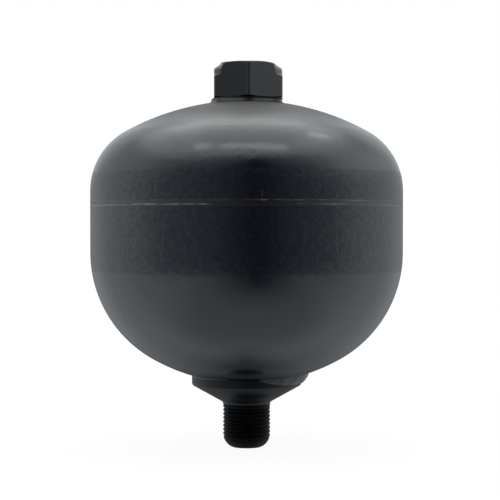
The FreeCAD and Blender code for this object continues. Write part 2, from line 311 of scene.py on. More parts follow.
def makeVesselPaint():
    p = vesselPaint
    material, tree, shader = newMaterial("satin_black_paint")
    point = objectPoint(tree)
    axes = splitAxes(tree, point)
    radius = axisDistance(tree, point)
    waver = spread(tree, grain(tree, point, p["waverPerMetre"], 2), 0.0, p["bandWaver"])
    height = calc(tree, "ADD", axes["Z"], waver)
    up = stepUp(tree, height, p["bandLowZ"] - p["bandEdge"], p["bandLowZ"] + p["bandEdge"])
    down = stepUp(tree, height, p["bandHighZ"] - p["bandEdge"], p["bandHighZ"] + p["bandEdge"], 1.0, 0.0)
    band = calc(tree, "MULTIPLY", up, down)
    blast = grain(tree, point, p["blastPerMetre"], 3, 0.7)

    # the paint is rougher round the boss, where the neck was welded in, and a little round the port
    nearBoss = stepUp(tree, radius, p["dullToR"], p["dullFromR"], p["dullRoughness"], 0.0)
    dull = calc(tree, "MULTIPLY", nearBoss, stepUp(tree, axes["Z"], *p["dullAboveZ"]))
    nearPort = stepUp(tree, radius, p["portToR"], p["portFromR"], p["portRoughness"], 0.0)
    nearPort = calc(tree, "MULTIPLY", nearPort, stepUp(tree, axes["Z"], *p["portBelowZ"], 1.0, 0.0))
    patches = grain(tree, point, p["patchesPerMetre"], 3, 0.6)
    domeRough = calc(tree, "ADD", spread(tree, patches, p["domeRoughness"], p["patchesWidth"]), dull)
    domeRough = calc(tree, "ADD", domeRough, nearPort)
    bandRough = spread(tree, blast, p["bandRoughness"], p["blastWidth"])
    tree.links.new(mixValue(tree, band, domeRough, bandRough), shader.inputs["Roughness"])

    # painted sheen: round the boss the colour also turns lighter, standing in for the overhead light on the
    # dome's top
    bloom = calc(tree, "MULTIPLY", dull, 1 / p["dullRoughness"])
    dome = blend(tree, bloom, p["domeColour"], p["dullSheenColour"])
    scratch = frontPatch(tree, axes, p["scratchAt"], p["scratchHalf"])
    middle = blend(tree, scratch, p["bandColour"], p["scratchColour"])
    tree.links.new(blend(tree, band, dome, middle), shader.inputs["Base Color"])

    # painted shade: less gloss in a patch just above the port's bead darkens it there; and a mottled gloss
    # on the band
    shade = frontPatch(tree, axes, p["shadeAt"], p["shadeHalf"])
    domeGloss = calc(tree, "MULTIPLY_ADD", shade, p["shadeGloss"] - p["domeGloss"], p["domeGloss"])
    low, high = (share * p["bandGloss"] for share in p["mottle"])
    mottled = stepUp(tree, blast, *p["mottleOver"], low, high)
    tree.links.new(mixValue(tree, band, domeGloss, mottled), shader.inputs["Specular IOR Level"])

    wave = bump(tree, grain(tree, point, p["wavePerMetre"], 2, 0.5), p["waveDepth"])
    peel = bump(tree, grain(tree, point, p["peelPerMetre"], 2, 0.5), p["peelDepth"], wave)
    relief = calc(tree, "MULTIPLY", calc(tree, "SUBTRACT", blast, 0.5), band)
    tree.links.new(bump(tree, relief, p["blastDepth"], peel), shader.inputs["Normal"])
    return material


# Fitting paint: black paint with a faint cloudiness and a fine skin, and where asked, painted shade as
# lower gloss
fittingPaint = {
    "cloudPerMetre": 120,
    "cloudLighter": 1.7,
    "cloudWidth": 0.1,
    "skinPerMetre": 700,
    "sideOver": (-0.4 * mm, 0.9 * mm),
    "levelHalf": 0.3 * mm,
}


def makeFittingPaint(
    name, colour, roughness, skinDepth, gloss, shadedLeftShare=1.0, lowZ=None, shadedLowShare=1.0, dark=None,
):
    p = fittingPaint
    material, tree, shader = newMaterial(name)
    point = objectPoint(tree)
    axes = splitAxes(tree, point)
    cloud = grain(tree, point, p["cloudPerMetre"], 3, 0.6)
    skin = grain(tree, point, p["skinPerMetre"], 3, 0.55)
    lighter = tuple(p["cloudLighter"] * part for part in colour)
    tree.links.new(blend(tree, cloud, colour, lighter), shader.inputs["Base Color"])
    tree.links.new(spread(tree, cloud, roughness, p["cloudWidth"]), shader.inputs["Roughness"])
    tree.links.new(bump(tree, skin, skinDepth), shader.inputs["Normal"])
    shader.inputs["Specular IOR Level"].default_value = gloss
    if lowZ is not None:
        # painted shade: less gloss on the left, and below one height, darkens those parts as shade would
        side = stepUp(tree, axes["X"], *p["sideOver"], gloss * shadedLeftShare, gloss)
        level = stepUp(tree, axes["Z"], lowZ - p["levelHalf"], lowZ + p["levelHalf"], shadedLowShare, 1.0)
        gloss = calc(tree, "MULTIPLY", side, level)
    if dark is not None:
        # painted shade: one dull patch on the front, darker for its lower gloss
        inside = frontPatch(tree, axes, dark["at"], dark["half"])
        gloss = calc(tree, "MULTIPLY", calc(tree, "MULTIPLY_ADD", inside, dark["share"] - 1, 1.0), gloss)
    if lowZ is not None or dark is not None:
        tree.links.new(gloss, shader.inputs["Specular IOR Level"])
    return material


# Seam paint: paint over the flush weld, with a painted highlight along the raised toes: a lighter, partly
# metallic colour
seamCoat = {
    "coatColour": (0.0020, 0.0018, 0.0025),
    "toeHighlightColour": (0.11, 0.11, 0.115),
    "toeHighlightOver": (0.04 * mm, 0.11 * mm),
    "toeHighlightMost": 0.7,
    "metalShare": 0.6,
    "fleckPerMetre": 600,
    "fleckLift": 0.05 * mm,
    "fleckDepth": 0.03 * mm,
    "fleckOver": (0.2, 0.8),
    "roughness": (0.22, 0.40),
}


def makeSeamPaint():
    p = seamCoat
    material, tree, shader = newMaterial("weld_seam_paint")
    point = objectPoint(tree)
    fleck = grain(tree, point, p["fleckPerMetre"], 4, 0.7)
    lifted = calc(tree, "MULTIPLY_ADD", fleck, p["fleckLift"], axisDistance(tree, point))
    # painted highlight: the highest points of the toes turn lighter and partly metallic
    fromR, toR = (lowerHead["bodyR"] + rise for rise in p["toeHighlightOver"])
    toeHighlight = stepUp(tree, lifted, fromR, toR, 0.0, p["toeHighlightMost"])
    tree.links.new(blend(tree, toeHighlight, p["coatColour"], p["toeHighlightColour"]), shader.inputs["Base Color"])
    tree.links.new(calc(tree, "MULTIPLY", toeHighlight, p["metalShare"]), shader.inputs["Metallic"])
    tree.links.new(stepUp(tree, fleck, *p["fleckOver"], *p["roughness"]), shader.inputs["Roughness"])
    tree.links.new(bump(tree, fleck, p["fleckDepth"]), shader.inputs["Normal"])
    return material


# Turned metal: fine rings from the tool, and a few darker stains
turnedMetal = {
    "ringDepth": 0.006 * mm,
    "ringWander": {"Distortion": 1.5, "Detail": 3.0, "Detail Scale": 2.0},
    "stainPerMetre": 180,
    "stainDarker": 0.6,
    "stainRougher": (-0.07, 0.15),
}


def makeTurnedMetal(name, colour, roughness, ringsPerMetre):
    p = turnedMetal
    material, tree, shader = newMaterial(name)
    point = objectPoint(tree)
    rings = addNode(
        tree, "ShaderNodeTexWave", {"Vector": point, "Scale": ringsPerMetre, **p["ringWander"]},
        wave_type="RINGS", rings_direction="Z",
    ).outputs["Fac"]
    stain = grain(tree, point, p["stainPerMetre"], 4, 0.6)
    darker = tuple(p["stainDarker"] * part for part in colour)
    least, more = p["stainRougher"]
    tree.links.new(blend(tree, stain, darker, colour), shader.inputs["Base Color"])
    shader.inputs["Metallic"].default_value = 1.0
    tree.links.new(calc(tree, "MULTIPLY_ADD", stain, more, roughness + least), shader.inputs["Roughness"])
    tree.links.new(bump(tree, rings, p["ringDepth"]), shader.inputs["Normal"])
    return material


# Moulded rubber: dull, with a bloom in patches and a fine mould skin
mouldedRubber = {
    "bloomPerMetre": 90,
    "bloomLighter": 2.2,
    "bloomOver": (0.3, 0.7),
    "roughness": (0.48, 0.66),
    "skinPerMetre": 1400,
    "skinDepth": 0.015 * mm,
}


def makeRubber(name, colour):
    p = mouldedRubber
    material, tree, shader = newMaterial(name)
    point = objectPoint(tree)
    bloom = grain(tree, point, p["bloomPerMetre"], 4, 0.6)
    skin = grain(tree, point, p["skinPerMetre"], 3, 0.6)
    lighter = tuple(p["bloomLighter"] * part for part in colour)
    tree.links.new(blend(tree, bloom, colour, lighter), shader.inputs["Base Color"])
    tree.links.new(stepUp(tree, bloom, *p["bloomOver"], *p["roughness"]), shader.inputs["Roughness"])
    tree.links.new(bump(tree, skin, p["skinDepth"]), shader.inputs["Normal"])
    return material


# Threaded stud, cone and flange: one turned piece with a cut thread
stud = {
    "threadR": 9.0 * mm,
    "pitch": 1.5 * mm,
    "threadDepth": 0.40 * mm,
    "crestShare": 0.38,
    "rootShare": 0.12,
    "rootDip": 0.03 * mm,
    "threadTopZ": -0.15 * mm,
    "runOut": 1.2 * mm,
    "straight": 11.1 * mm,
    "noseR": 5.45 * mm,
    "noseJoinDrop": 3.15 * mm,
    "noseRows": 10,
    "neckZ": 1.06 * mm,
    "neckFillet": 1.5 * mm,
    "flangeR": 21.0 * mm,
    "rimZ": 7.80 * mm,
    "rimRound": 1.1 * mm,
    "spigotR": 11.0 * mm,
    "passageR": 4.0 * mm,
    "passageChamfer": 0.6 * mm,
    "seatGap": 0.05 * mm,
    "seatStride": 2 * mm,
    "steps": 160,
}


def noseRadius(z):
    s = stud
    drop = -s["straight"] - z
    if drop <= 0:
        return s["threadR"]
    return s["threadR"] - s["noseR"] + math.sqrt(s["noseR"] ** 2 - drop ** 2)


def addThread(mesh):
    # a line of thread teeth turned once while it climbs by one pitch, so that each turn meets the next
    s = stud
    rootR = s["threadR"] - s["threadDepth"]
    halfR = (s["threadR"] + rootR) / 2
    flank = (1 - s["crestShare"] - s["rootShare"]) / 2
    rootStart = s["crestShare"] + flank
    tooth = [
        (0, s["threadR"]),
        (s["crestShare"], s["threadR"]),
        (s["crestShare"] + flank / 2, halfR),
        (rootStart, rootR),
        (rootStart + s["rootShare"] / 2, rootR - s["rootDip"]),
        (rootStart + s["rootShare"], rootR),
        (1 - flank / 2, halfR),
    ]
    topZ = s["threadTopZ"]
    lowZ = -s["straight"] - s["noseJoinDrop"]
    turns = math.ceil((topZ - lowZ) / s["pitch"]) + 2  # some turns start outside the thread's ends
    firstZ = lowZ - 1.5 * s["pitch"]
    line = [(r, firstZ + (turn + share) * s["pitch"]) for turn in range(turns) for share, r in tooth]
    verts = [mesh.verts.new((r, 0, z)) for r, z in line]
    edges = [mesh.edges.new(pair) for pair in zip(verts, verts[1:])]
    bmesh.ops.spin(
        mesh, geom=verts + edges, cent=(0, 0, 0), axis=(0, 0, 1), dvec=(0, 0, s["pitch"] / s["steps"]),
        angle=math.tau, steps=s["steps"], use_merge=False, use_normal_flip=False, use_duplicate=False,
    )
    for vert in mesh.verts:
        angle = math.atan2(vert.co.y, vert.co.x)
        r = math.hypot(vert.co.x, vert.co.y)
        z = min(max(vert.co.z, lowZ), topZ)  # what lies outside the ends is drawn in to them
        if z == topZ:
            r = s["threadR"]
        elif z == lowZ:
            r = noseRadius(lowZ)
        else:
            started = smoothStep(topZ - z, 0, s["runOut"])  # the thread runs out under the neck
            r = min(s["threadR"] + (r - s["threadR"]) * started, noseRadius(z))
        vert.co = (r * math.cos(angle), r * math.sin(angle), z)
    bmesh.ops.remove_doubles(mesh, verts=mesh.verts, dist=mergeWithin)


def makeStud():
    s = stud
    mesh = bmesh.new()
    addThread(mesh)
    low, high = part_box("port_stud")
    joinZ = -s["straight"] - s["noseJoinDrop"]
    noseZs = [joinZ + (low.z - joinZ) * k / s["noseRows"] for k in range(s["noseRows"] + 1)]
    nose = [(noseRadius(z), z) for z in noseZs]
    bore = [(s["passageR"], low.z), (s["passageR"], high.z - s["passageChamfer"])]
    mouth = [(s["passageR"] + s["passageChamfer"], high.z), (s["spigotR"], high.z)]
    reach = lowerHead["crownR"] + s["seatGap"]
    seat = headArc(s["spigotR"], math.acos(s["flangeR"] / reach), -s["seatGap"], s["seatStride"])
    outside = roundedLine([
        seat[-1],
        (s["flangeR"], s["rimZ"], s["rimRound"]),
        (s["threadR"], s["neckZ"], s["neckFillet"]),
        (s["threadR"], s["threadTopZ"]),
    ], 8)
    lathe(mesh, nose + bore + mouth + seat + outside[1:], s["steps"])
    return finishPiece(mesh, "threaded_stud", portPaint, standsFor=["port_stud"])


# Weld bead round the flange: full on the right, and thinning out to a small fillet everywhere else
bead = {
    "cornerR": 20.9 * mm,
    "cornerZ": 11.3 * mm,
    "footR": 21.1 * mm,
    "footZ": 8.435 * mm,
    "crestR": 23.9 * mm,
    "tuckIn": 0.3 * mm,
    "tuckUp": 1.2 * mm,
    "rootIn": 1.5 * mm,
    "rootUp": 0.2 * mm,
    "bulge": 0.42 * mm,
    "faceRows": 12,
    "least": 0.10,
    "fullOver": (0.05, 0.92),
    "fullTurn": -0.1,
    "ripples": 44,
    "rippleDepth": 0.13 * mm,
    "rippleSteep": 0.6,
    "rippleBend": 0.5,
    "wander": 0.30 * mm,
    "wanderPerMetre": 260,
    "wanderAtEdges": 0.35,
    "sag": 0.6,
    "steps": 352,
}


def makeBead():
    b = bead
    crestZ = headPoint(math.acos(b["crestR"] / lowerHead["crownR"]))[1]
    foot, crest = Vector((b["footR"], b["footZ"])), Vector((b["crestR"], crestZ))
    outward = Vector((crest.y - foot.y, foot.x - crest.x)).normalized()
    face = []
    for k in range(b["faceRows"] + 1):
        share = k / b["faceRows"]
        face.append(tuple(foot.lerp(crest, share) + outward * b["bulge"] * 4 * share * (1 - share)))
    inside = [
        (b["crestR"] - b["tuckIn"], crestZ + b["tuckUp"]),
        (b["footR"] - b["rootIn"], crestZ + b["rootUp"]),
        (b["footR"] - b["rootIn"], b["footZ"] + b["rootUp"]),
    ]
    mesh = bmesh.new()
    lathe(mesh, face + inside + face[:1], b["steps"])
    for vert in mesh.verts:
        r, z = math.hypot(vert.co.x, vert.co.y), vert.co.z
        around = math.atan2(vert.co.y, vert.co.x)
        size = b["least"] + (1 - b["least"]) * smoothStep(math.cos(around - b["fullTurn"]), *b["fullOver"])
        share = min(1, max(0, (z - b["footZ"]) / (crestZ - b["footZ"])))
        scale = 4 * share * (1 - share)
        grow = 0
        if r > b["footR"] - 1 * mm:
            # each ripple is a small scale, steep on one side, that bends back where it meets the plates
            phase = (b["ripples"] * around / math.tau + b["rippleBend"] * (2 * share - 1) ** 2) % 1
            grow = b["rippleDepth"] * (phase ** b["rippleSteep"] - b["rippleSteep"]) * scale
            uneven = b["wander"] * (b["wanderAtEdges"] + (1 - b["wanderAtEdges"]) * scale)
            grow += noise.noise(Vector((vert.co.x, vert.co.y, z)) * b["wanderPerMetre"]) * uneven
        newR = b["cornerR"] + (r + grow - b["cornerR"]) * size
        vert.co.z = b["cornerZ"] + (z - b["sag"] * grow - b["cornerZ"]) * size
        vert.co.x *= newR / r
        vert.co.y *= newR / r
    return finishPiece(
        mesh, "flange_weld_bead", beadPaint, standsFor=["port_weld"], sharpDeg=60,
    )


# Girth seam: a flush weld whose two toes stand up as fine irregular lines
seam = {
    "depth": 4 * mm,
    "overlap": 1.22,
    "hemFrom": 1.2,
    "hemDrop": 0.03 * mm,
    "rows": 28,
    "toeHeight": 0.085 * mm,
    "toeWidth": 0.42 * mm,
    "toeAt": 0.93,
    "toeWander": ((210, 0.16), (45, 0.14)),
    "toeEven": 0.75,
    "toeUneven": ((330, 0.75), (60, 0.5)),
    "upperEven": 0.40,
    "upperUneven": ((25, 0.35),),
    "lowerEven": 0.30,
    "lowerLeft": (1.50, 0, 18 * mm),
    "lowerRight": (0.75, 8 * mm, 30 * mm),
    "lowerClimb": 0.42,
    "sink": 0.04 * mm,
    "sinkWithin": 0.9,
    "lapTurn": math.radians(-84),
    "lapWidth": math.radians(3.6),
    "lapLift": 0.035 * mm,
    "lapPerMetre": 700,
    "steps": 720,
}


def makeSeam():
    s = seam
    low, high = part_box("girth_weld")
    outerR = lowerHead["bodyR"]
    innerR = outerR - s["depth"]
    middleZ = (low.z + high.z) / 2
    halfWidth = (high.z - low.z) / 2
    leftAmount, *leftOver = s["lowerLeft"]
    rightAmount, *rightOver = s["lowerRight"]
    face = [
        (outerR, middleZ + halfWidth * s["overlap"] * (2 * k / s["rows"] - 1)) for k in range(s["rows"] + 1)
    ]
    mesh = bmesh.new()
    lathe(mesh, face + [(innerR, face[-1][1]), (innerR, face[0][1]), face[0]], s["steps"])
    for vert in mesh.verts:
        r = math.hypot(vert.co.x, vert.co.y)
        if r < outerR - 1 * mm:
            continue
        across = (vert.co.z - middleZ) / halfWidth
        around = math.atan2(vert.co.y, vert.co.x)
        lift = -s["hemDrop"] if abs(across) > s["hemFrom"] else 0
        for side in (-1, 1):
            at = Vector((vert.co.x, vert.co.y, side * 0.05))
            wander = noiseSum(at, s["toeWander"])
            height = s["toeHeight"] * (s["toeEven"] + noiseSum(at, s["toeUneven"]))
            if side > 0:
                height *= s["upperEven"] + noiseSum(at, s["upperUneven"])
            else:
                # the lower line is strongest on the left and weakest in the middle, and climbs to the front
                height *= (
                    s["lowerEven"]
                    + leftAmount * smoothStep(-at.x, *leftOver)
                    + rightAmount * smoothStep(at.x, *rightOver)
                )
                wander -= s["lowerClimb"] * smoothStep(-vert.co.y, 0, outerR)
            away = (across - side * (s["toeAt"] + wander)) * halfWidth / (s["toeWidth"] / 2)
            lift += max(0, height) * math.exp(-away * away)
        if abs(across) < s["sinkWithin"]:
            lift -= s["sink"] * (1 - abs(across))
        if abs(across) < s["hemFrom"]:
            # where the weld runs over its own start
            lap = math.exp(-((around - s["lapTurn"]) / s["lapWidth"]) ** 2)
            lift += lap * s["lapLift"] * (0.5 + noise.noise(vert.co * s["lapPerMetre"]))
        vert.co.x *= (outerR + lift) / r
        vert.co.y *= (outerR + lift) / r
    return finishPiece(
        mesh, "girth_weld_seam", seamPaint, standsFor=["girth_weld"], sharpDeg=70,
    )


# Charging boss: a hexagon with a corner to the front, its corners turned off by two cones at the top
boss = {
    "flats": 26.0 * mm,
    "turn": math.radians(1.5),
    "cornerRound": 0.8 * mm,
    "cornerSpare": 0.05 * mm,
    "edgeSoft": 0.35 * mm,
    "height": 13.5 * mm,
    "topFlatR": 10.0 * mm,
    "topRound": 0.5 * mm,
    "crownR": 13.15 * mm,
    "crownDrop": 2.3 * mm,
    "crownRound": 0.9 * mm,
    "turnedR": 13.7 * mm,
    "turnedDrop": 3.1 * mm,
    "turnedRound": 0.4 * mm,
    "turnedLean": 0.1 * mm,
    "shoulderRise": 0.9 * mm,
    "cornerDrop": 5.6 * mm,
    "smallRound": 0.3 * mm,
    "tallDrop": 0.72 * mm,
    "tallFall": 1.9 * mm,
    "tallFrom": math.radians(20),
    "tallWithin": math.radians(46),
    "tallUntil": math.radians(50),
    "footRise": 0.45 * mm,
    "offCentre": 0.5 * mm,
    "offCentreOver": (-0.9 * mm, -0.1 * mm),
    "neckR": 13.4 * mm,
    "neckHeight": 1.8 * mm,
    "spigotR": 11.0 * mm,
    "spigotRise": 0.8 * mm,
    "screwBoreR": 8.05 * mm,
    "mouthEdge": 0.8 * mm,
    "gasBoreR": 2.5 * mm,
    "boreStride": 4 * mm,
    "sideStride": 0.4 * mm,
    "perFace": 24,
}


def hexRadius(local, apothem, rounding):
    # distance from the axis to a hexagon's side; local is the angle from the middle of the nearest face
    flatEnd = math.atan(math.tan(math.pi / 6) * (1 - rounding / apothem))
    if abs(local) <= flatEnd:
        return apothem / math.cos(local)
    beside = math.pi / 6 - abs(local)
    reach = (apothem - rounding) / math.cos(math.pi / 6)
    return reach * math.cos(beside) + math.sqrt(max(0, rounding ** 2 - (reach * math.sin(beside)) ** 2))


def towardsCorners(angle, turn):
    # crowds the spun steps towards a hexagon's corners, and says how far each is from its face's middle
    third = math.pi / 3
    faceMiddle = turn - math.pi / 2 + third / 2
    index = math.floor((angle - faceMiddle) / third + 0.5)
    local = angle - faceMiddle - index * third
    local = third / 2 * math.sin(local / (third / 2) * math.pi / 2)
    return faceMiddle + index * third + local, local


def makeBoss():
    b = boss
    low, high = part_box("hex_boss")
    footZ = high.z - b["height"]
    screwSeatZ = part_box("charging_seal")[0].z
    cornerR = b["flats"] / math.sqrt(3) + b["cornerSpare"]
    cornerTopZ = high.z - b["cornerDrop"]
    flatLowZ = footZ + b["footRise"]
    bore = [
        (b["gasBoreR"], low.z),
        (b["gasBoreR"], screwSeatZ),
        (b["screwBoreR"], screwSeatZ),
        (b["screwBoreR"], high.z - b["mouthEdge"]),
        (b["screwBoreR"] + b["mouthEdge"], high.z),
    ]
    side = divided(roundedLine([
        bore[-1],
        (b["topFlatR"], high.z, b["topRound"]),
        (b["crownR"], high.z - b["crownDrop"], b["crownRound"]),
        (b["turnedR"], high.z - b["turnedDrop"], b["turnedRound"]),
        (b["turnedR"] + b["turnedLean"], cornerTopZ + b["shoulderRise"], b["smallRound"]),
        (cornerR, cornerTopZ, b["smallRound"]),
        (cornerR, flatLowZ, b["smallRound"]),
        (b["neckR"], footZ, b["smallRound"]),
        (b["neckR"], footZ - b["neckHeight"]),
    ], 8), b["sideStride"])
    spigot = [(b["spigotR"], side[-1][1] + b["spigotRise"]), (b["spigotR"], low.z), bore[0]]
    mesh = bmesh.new()
    lathe(mesh, divided(bore, b["boreStride"]) + side[1:] + spigot, 6 * b["perFace"])
    for vert in mesh.verts:
        r = math.hypot(vert.co.x, vert.co.y)
        z = vert.co.z
        angle, local = towardsCorners(math.atan2(vert.co.y, vert.co.x), b["turn"])
        fromFront = abs((angle + math.pi / 2 - b["turn"] + math.pi) % math.tau - math.pi)
        tall = 1 - smoothStep(fromFront, b["tallWithin"], b["tallUntil"])
        # the two front faces and the corner between them keep nearly their full height
        if r > b["topFlatR"] and z > flatLowZ and tall > 0:
            fall = max(0, fromFront - b["tallFrom"]) / (b["tallUntil"] - b["tallFrom"])
            drop = b["tallDrop"] + b["tallFall"] * fall ** 2
            if z > cornerTopZ:
                tallZ = high.z - drop * (high.z - z) / b["cornerDrop"]
            else:
                share = (z - flatLowZ) / (cornerTopZ - flatLowZ)
                tallZ = flatLowZ + share * (high.z - drop - flatLowZ)
            vert.co.z = z + (tallZ - z) * tall
        if z > footZ - 0.01 * mm:
            r = softMin(r, hexRadius(local, b["flats"] / 2, b["cornerRound"]), b["edgeSoft"])
        vert.co.x = r * math.cos(angle)
        vert.co.y = r * math.sin(angle)
        if r > b["topFlatR"] - 0.01 * mm:
            # the hexagon and its neck stand a little to the right of the bore
            vert.co.x += b["offCentre"] * smoothStep(z - footZ, *b["offCentreOver"])
    return finishPiece(mesh, "hexagon_boss", bossPaint, standsFor=["hex_boss"], sharpDeg=40)


# Charging screw with a hexagon socket
screw = {
    "r": 8.0 * mm,
    "edge": 0.8 * mm,
    "edgeRound": 0.3 * mm,
    "noseR": 4.5 * mm,
    "noseRound": 0.2 * mm,
    "shoulderDrop": 9.6 * mm,
    "socketFlats": 8.0 * mm,
    "socketDepth": 6.0 * mm,
    "socketRound": 0.15 * mm,
    "mouthR": 4.85 * mm,
    "mouthDrop": 0.5 * mm,
    "mouthSlope": 0.6,
    "drillDrop": 1.1 * mm,
}


def makeScrew():
    s = screw
    low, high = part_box("charging_screw")
    apothem = s["socketFlats"] / 2
    shoulderZ = high.z - s["shoulderDrop"]
    floorZ = high.z - s["socketDepth"]
    outside = roundedLine([
        (0, low.z),
        (s["noseR"], low.z, s["noseRound"]),
        (s["noseR"], shoulderZ),
        (s["r"] - s["edge"], shoulderZ),
        (s["r"], shoulderZ + s["edge"]),
        (s["r"], high.z - s["edge"], s["edgeRound"]),
        (s["r"] - s["edge"], high.z, s["edgeRound"]),
        (s["mouthR"], high.z),
    ])
    socket = [(apothem, high.z - s["mouthDrop"]), (apothem, floorZ), (0, floorZ - s["drillDrop"])]
    mesh = bmesh.new()
    lathe(mesh, outside + socket, 6 * boss["perFace"])
    for vert in mesh.verts:
        r = math.hypot(vert.co.x, vert.co.y)
        angle, local = towardsCorners(math.atan2(vert.co.y, vert.co.x), boss["turn"])
        if abs(r - apothem) < 0.01 * mm:
            r = hexRadius(local, apothem, s["socketRound"])
            if vert.co.z > floorZ + 1 * mm:
                vert.co.z = high.z - (s["mouthR"] - r) * s["mouthSlope"]
        vert.co.x = r * math.cos(angle)
        vert.co.y = r * math.sin(angle)
    return finishPiece(
        mesh, "socket_charging_screw", screwSteel, standsFor=["charging_screw"],
    )


# Diaphragm: the moulded cup, dense enough to roll up the wall as the button lifts
cup = {
    "rubberGap": 0.3 * mm,
    "rubber": 2.5 * mm,
    "pocketR": 12.3 * mm,
    "pocketZ": 17.845 * mm,
    "stemPocketR": 3.8 * mm,
    "headPocketR": 6.8 * mm,
    "headLowZ": 19.745 * mm,
    "headHighZ": 22.345 * mm,
    "padR": 11.5 * mm,
    "padFlank": 4.5 * mm,
    "padTopZ": 25.745 * mm,
    "padRound": 2 * mm,
    "padFillet": 2.4 * mm,
    "leanRise": 16.5 * mm,
    "wallFillet": 9 * mm,
    "heelR": 52.65 * mm,
    "beadR": 55.45 * mm,
    "beadWidth": 5.2 * mm,
    "beadHeight": 5.4 * mm,
    "beadSlope": math.radians(19),
    "beadRound": 0.6 * mm,
    "rollStartZ": 61.0 * mm,
    "rollEndZ": 26.0 * mm,
    "arcStride": 2.6 * mm,
    "stride": 1.6 * mm,
    "steps": 160,
}


def makeDiaphragm():
    c = cup
    outerInset = lowerHead["wall"] + c["rubberGap"]
    innerInset = outerInset + c["rubber"]
    leanTurn = math.asin(c["leanRise"] / (lowerHead["knuckleR"] - outerInset))
    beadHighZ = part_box("diaphragm")[1].z
    beadLowZ = beadHighZ - c["beadHeight"]
    mouthZ = beadHighZ - c["beadWidth"] * math.tan(c["beadSlope"])
    outside = headArc(c["pocketR"], leanTurn, outerInset, c["arcStride"])
    inside = headArc(c["padR"] + c["padFlank"], leanTurn, innerInset, c["arcStride"])
    corners = [(c["pocketR"], c["pocketZ"]), *outside[:-1]]
    corners += [
        (*outside[-1], c["wallFillet"]),
        (c["heelR"], beadLowZ),
        (c["beadR"], beadLowZ, c["beadRound"]),
        (c["beadR"], beadHighZ, c["beadRound"]),
        (c["beadR"] - c["beadWidth"], mouthZ, c["beadRound"]),
        (*inside[-1], c["wallFillet"]),
    ]
    corners += inside[-2:0:-1]
    corners += [(*inside[0], c["padFillet"]), (c["padR"], c["padTopZ"], c["padRound"]), (0, c["padTopZ"])]
    pocket = [
        (0, c["headHighZ"]),
        (c["headPocketR"], c["headHighZ"]),
        (c["headPocketR"], c["headLowZ"]),
        (c["stemPocketR"], c["headLowZ"]),
        (c["stemPocketR"], c["pocketZ"]),
        (c["pocketR"], c["pocketZ"]),
    ]
    mesh = bmesh.new()
    lathe(mesh, divided(roundedLine(corners), c["stride"]), c["steps"])
    lathe(mesh, pocket, c["steps"])
    piece = finishPiece(
        mesh, "rubber_diaphragm", diaphragmRubber, body=None, standsFor=["diaphragm"],
    )
    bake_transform(piece)
    return piece


# The finishes, one dictionary for each coat and metal
bossColour = (0.0030, 0.0030, 0.0040)
portColour = (0.0012, 0.0013, 0.0018)
bossCoat = {
    "colour": bossColour,
    "roughness": 0.24,
    "skinDepth": 0.006 * mm,
    "gloss": 0.64,
    # painted shade: less gloss on the hexagon's left side and on its neck below the foot
    "shadedLeftShare": 0.5,
    "lowZ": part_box("hex_boss")[1].z - boss["height"],
    "shadedLowShare": 0.45,
}
# painted shade: the boss coat with less gloss, for the fillet under the hexagon's overhanging corners
shadedFilletCoat = {"colour": bossColour, "roughness": 0.45, "skinDepth": 0.015 * mm, "gloss": 0.35}
portCoat = {
    "colour": portColour,
    "roughness": 0.40,
    "skinDepth": 0.006 * mm,
    "gloss": 0.19,
    "lowZ": 0.6 * mm,
    # painted shade: less gloss on the stud below the neck
    "shadedLowShare": 0.20,
    # painted shade: a dull, dark patch on the cone's front
    "dark": {"at": (2.5 * mm, 4.7 * mm), "half": (6.0 * mm, 1.2 * mm), "share": 0.35},
}
beadCoat = {
    "colour": portColour,
    "roughness": 0.22,
    "skinDepth": 0.020 * mm,
    "gloss": 0.28,
    # painted shade: a dull, dark patch on the bead's front
    "dark": {"at": (-1.0 * mm, 9.9 * mm), "half": (6.4 * mm, 2.5 * mm), "share": 0.04},
}
screwMetal = {"colour": (0.42, 0.42, 0.41), "roughness": 0.34, "ringsPerMetre": 900}
ringMetal = {"colour": (0.38, 0.38, 0.39), "roughness": 0.36, "ringsPerMetre": 500}
buttonMetal = {"colour": (0.66, 0.67, 0.69), "roughness": 0.30, "ringsPerMetre": 700}
sealColour = (0.010, 0.010, 0.011)
diaphragmColour = (0.014, 0.014, 0.015)

paint = makeVesselPaint()
bossPaint = makeFittingPaint("boss_black_paint", **bossCoat)
shadedFilletPaint = makeFittingPaint("boss_fillet_shaded_paint", **shadedFilletCoat)
portPaint = makeFittingPaint("port_gloss_paint", **portCoat)
beadPaint = makeFittingPaint("weld_bead_paint", **beadCoat)
seamPaint = makeSeamPaint()
screwSteel = makeTurnedMetal("zinc_plated_steel", **screwMetal)
ringSteel = makeTurnedMetal("turned_steel", **ringMetal)
buttonAlloy = makeTurnedMetal("turned_alloy", **buttonMetal)
sealRubber = makeRubber("seal_rubber_black", sealColour)
diaphragmRubber = makeRubber("diaphragm_rubber_black", diaphragmColour)
print("materials made")

makeStud()
makeBead()
makeSeam()
makeBoss()
makeScrew()
makeDiaphragm()

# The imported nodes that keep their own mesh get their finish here
nodeFinishes = {
    "gas_shell": (paint, "vessel_paint"),
    "fluid_shell": (paint, "vessel_paint"),
    "boss_weld": (shadedFilletPaint, "weld_paint"),
    "charging_seal": (sealRubber, "seal_rubber"),
    "closing_button": (buttonAlloy, "button_alloy"),
    "retaining_ring": (ringSteel, "ring_steel"),
}
for name, (material, slotName) in nodeFinishes.items():
    node = cadNodes[name]
    node.data.materials.clear()
    node.data.materials.append(material)
print("finishes on the packed nodes:", len(nodeFinishes))

# Floor under the stud's end
studioFloor = {
    "halfSize": 6.0,
    "gap": 0.05 * mm,
    "colour": (0.82, 0.82, 0.82),
    "roughness": 0.9,
    "white": 0.93,
}


